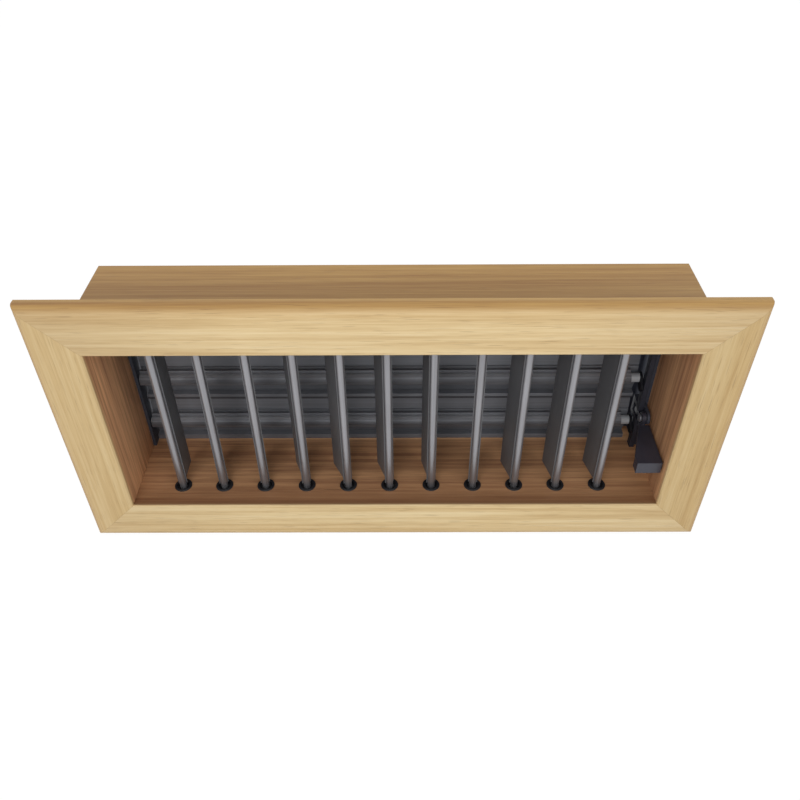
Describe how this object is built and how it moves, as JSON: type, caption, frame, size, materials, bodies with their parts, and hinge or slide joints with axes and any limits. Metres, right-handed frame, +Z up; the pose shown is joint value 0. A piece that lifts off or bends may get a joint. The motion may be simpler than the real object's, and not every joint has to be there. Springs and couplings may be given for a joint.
{
  "type": "closable ventilation grille",
  "caption": "Wooden air grille with a mitred flange and collar, upright vanes that turn one by one, and a rear damper worked by a finger lever.",
  "frame": {"origin": "middle of the wall cut-out, in the plane of the flange's back face", "axes": "+X along the grille's width (to the right seen from the room), +Y from the room into the wall, +Z up"},
  "size_m": [0.296, 0.057, 0.136],
  "materials": {
    "oak": "satin lacquer over straight oak grain",
    "bush_plastic": "moulded, matt",
    "rod_metal": "satin",
    "plate_metal": "dark satin",
    "blade_metal": "dull extruded",
    "rail_metal": "dull extruded",
    "nylon": "moulded, slightly glossy",
    "black_plastic": "moulded, matt",
    "lever_plastic": "moulded, matt",
    "screw_steel": "zinc-plated"
  },
  "bodies": {
    "frame": {"top_rail": "oak", "bottom_rail": "oak", "left_stile": "oak", "right_stile": "oak", "upper_bushes": "bush_plastic", "lower_bushes": "bush_plastic", "damper_left_rail": "rail_metal", "damper_right_rail": "rail_metal", "damper_stop_strip": "blade_metal", "rail_screws": "screw_steel", "strip_screws": "screw_steel", "lever_pin": "screw_steel"},
    "vane_01": {"vane_rod_01": "rod_metal", "vane_plate_01": "plate_metal"},
    "vane_02": {"vane_rod_02": "rod_metal", "vane_plate_02": "plate_metal"},
    "vane_03": {"vane_rod_03": "rod_metal", "vane_plate_03": "plate_metal"},
    "vane_04": {"vane_rod_04": "rod_metal", "vane_plate_04": "plate_metal"},
    "vane_05": {"vane_rod_05": "rod_metal", "vane_plate_05": "plate_metal"},
    "vane_06": {"vane_rod_06": "rod_metal", "vane_plate_06": "plate_metal"},
    "vane_07": {"vane_rod_07": "rod_metal", "vane_plate_07": "plate_metal"},
    "vane_08": {"vane_rod_08": "rod_metal", "vane_plate_08": "plate_metal"},
    "vane_09": {"vane_rod_09": "rod_metal", "vane_plate_09": "plate_metal"},
    "vane_10": {"vane_rod_10": "rod_metal", "vane_plate_10": "plate_metal"},
    "vane_11": {"vane_rod_11": "rod_metal", "vane_plate_11": "plate_metal"},
    "lower_blade": {"blade_lower": "blade_metal", "left_pivot_lower": "nylon", "right_pivot_lower": "nylon", "crank_lower": "black_plastic"},
    "middle_blade": {"blade_middle": "blade_metal", "left_pivot_middle": "nylon", "right_pivot_middle": "nylon", "crank_middle": "black_plastic"},
    "upper_blade": {"blade_upper": "blade_metal", "left_pivot_upper": "nylon", "right_pivot_upper": "nylon", "crank_upper": "black_plastic"},
    "bar": {"link_bar": "black_plastic"},
    "lever": {"finger_lever": "lever_plastic"}
  },
  "joints": [
    {"name": "vane_01_turn", "type": "hinge", "parent": "frame", "child": "vane_01", "pos_m": [-0.1036, 0.0064, 0], "axis": [0, 0, 1], "range_deg": [-30, 30]},
    {"name": "vane_02_turn", "type": "hinge", "parent": "frame", "child": "vane_02", "pos_m": [-0.08336, 0.0064, 0], "axis": [0, 0, 1], "range_deg": [-48, 12]},
    {"name": "vane_03_turn", "type": "hinge", "parent": "frame", "child": "vane_03", "pos_m": [-0.06312, 0.0064, 0], "axis": [0, 0, 1], "range_deg": [-44, 16]},
    {"name": "vane_04_turn", "type": "hinge", "parent": "frame", "child": "vane_04", "pos_m": [-0.04288, 0.0064, 0], "axis": [0, 0, 1], "range_deg": [-52, 8]},
    {"name": "vane_05_turn", "type": "hinge", "parent": "frame", "child": "vane_05", "pos_m": [-0.02264, 0.0064, 0], "axis": [0, 0, 1], "range_deg": [-58, 2]},
    {"name": "vane_06_turn", "type": "hinge", "parent": "frame", "child": "vane_06", "pos_m": [-0.0024, 0.0064, 0], "axis": [0, 0, 1], "range_deg": [-51, 9]},
    {"name": "vane_07_turn", "type": "hinge", "parent": "frame", "child": "vane_07", "pos_m": [0.01784, 0.0064, 0], "axis": [0, 0, 1], "range_deg": [-44, 16]},
    {"name": "vane_08_turn", "type": "hinge", "parent": "frame", "child": "vane_08", "pos_m": [0.03808, 0.0064, 0], "axis": [0, 0, 1], "range_deg": [-22, 38]},
    {"name": "vane_09_turn", "type": "hinge", "parent": "frame", "child": "vane_09", "pos_m": [0.05832, 0.0064, 0], "axis": [0, 0, 1], "range_deg": [-47, 13]},
    {"name": "vane_10_turn", "type": "hinge", "parent": "frame", "child": "vane_10", "pos_m": [0.07856, 0.0064, 0], "axis": [0, 0, 1], "range_deg": [-44, 16]},
    {"name": "vane_11_turn", "type": "hinge", "parent": "frame", "child": "vane_11", "pos_m": [0.0988, 0.0064, 0], "axis": [0, 0, 1], "range_deg": [-44, 16]},
    {"name": "lower_blade_turn", "type": "hinge", "parent": "frame", "child": "lower_blade", "pos_m": [0, 0.0374, -0.03023], "axis": [-1, 0, 0], "range_deg": [0, 70]},
    {"name": "middle_blade_turn", "type": "hinge", "parent": "frame", "child": "middle_blade", "pos_m": [0, 0.0374, -0.0027], "axis": [-1, 0, 0], "range_deg": [0, 70]},
    {"name": "upper_blade_turn", "type": "hinge", "parent": "frame", "child": "upper_blade", "pos_m": [0, 0.0374, 0.02483], "axis": [-1, 0, 0], "range_deg": [0, 70]},
    {"name": "bar_on_lower_crank", "type": "hinge", "parent": "lower_blade", "child": "bar", "pos_m": [0.1211, 0.03371, -0.03281], "axis": [-1, 0, 0], "range_deg": [-70, 0]},
    {"name": "lever_turn", "type": "hinge", "parent": "frame", "child": "lever", "pos_m": [0.1213, 0.0268, -0.01943], "axis": [1, 0, 0], "range_deg": [0, 34.13]}
  ],
  "couplings": [
    {"joint": "middle_blade_turn", "follows": "lower_blade_turn", "ratio": 1},
    {"joint": "upper_blade_turn", "follows": "lower_blade_turn", "ratio": 1},
    {"joint": "bar_on_lower_crank", "follows": "lower_blade_turn", "ratio": -1},
    {"joint": "lever_turn", "follows": "lower_blade_turn", "ratio": 0.48731}
  ]
}
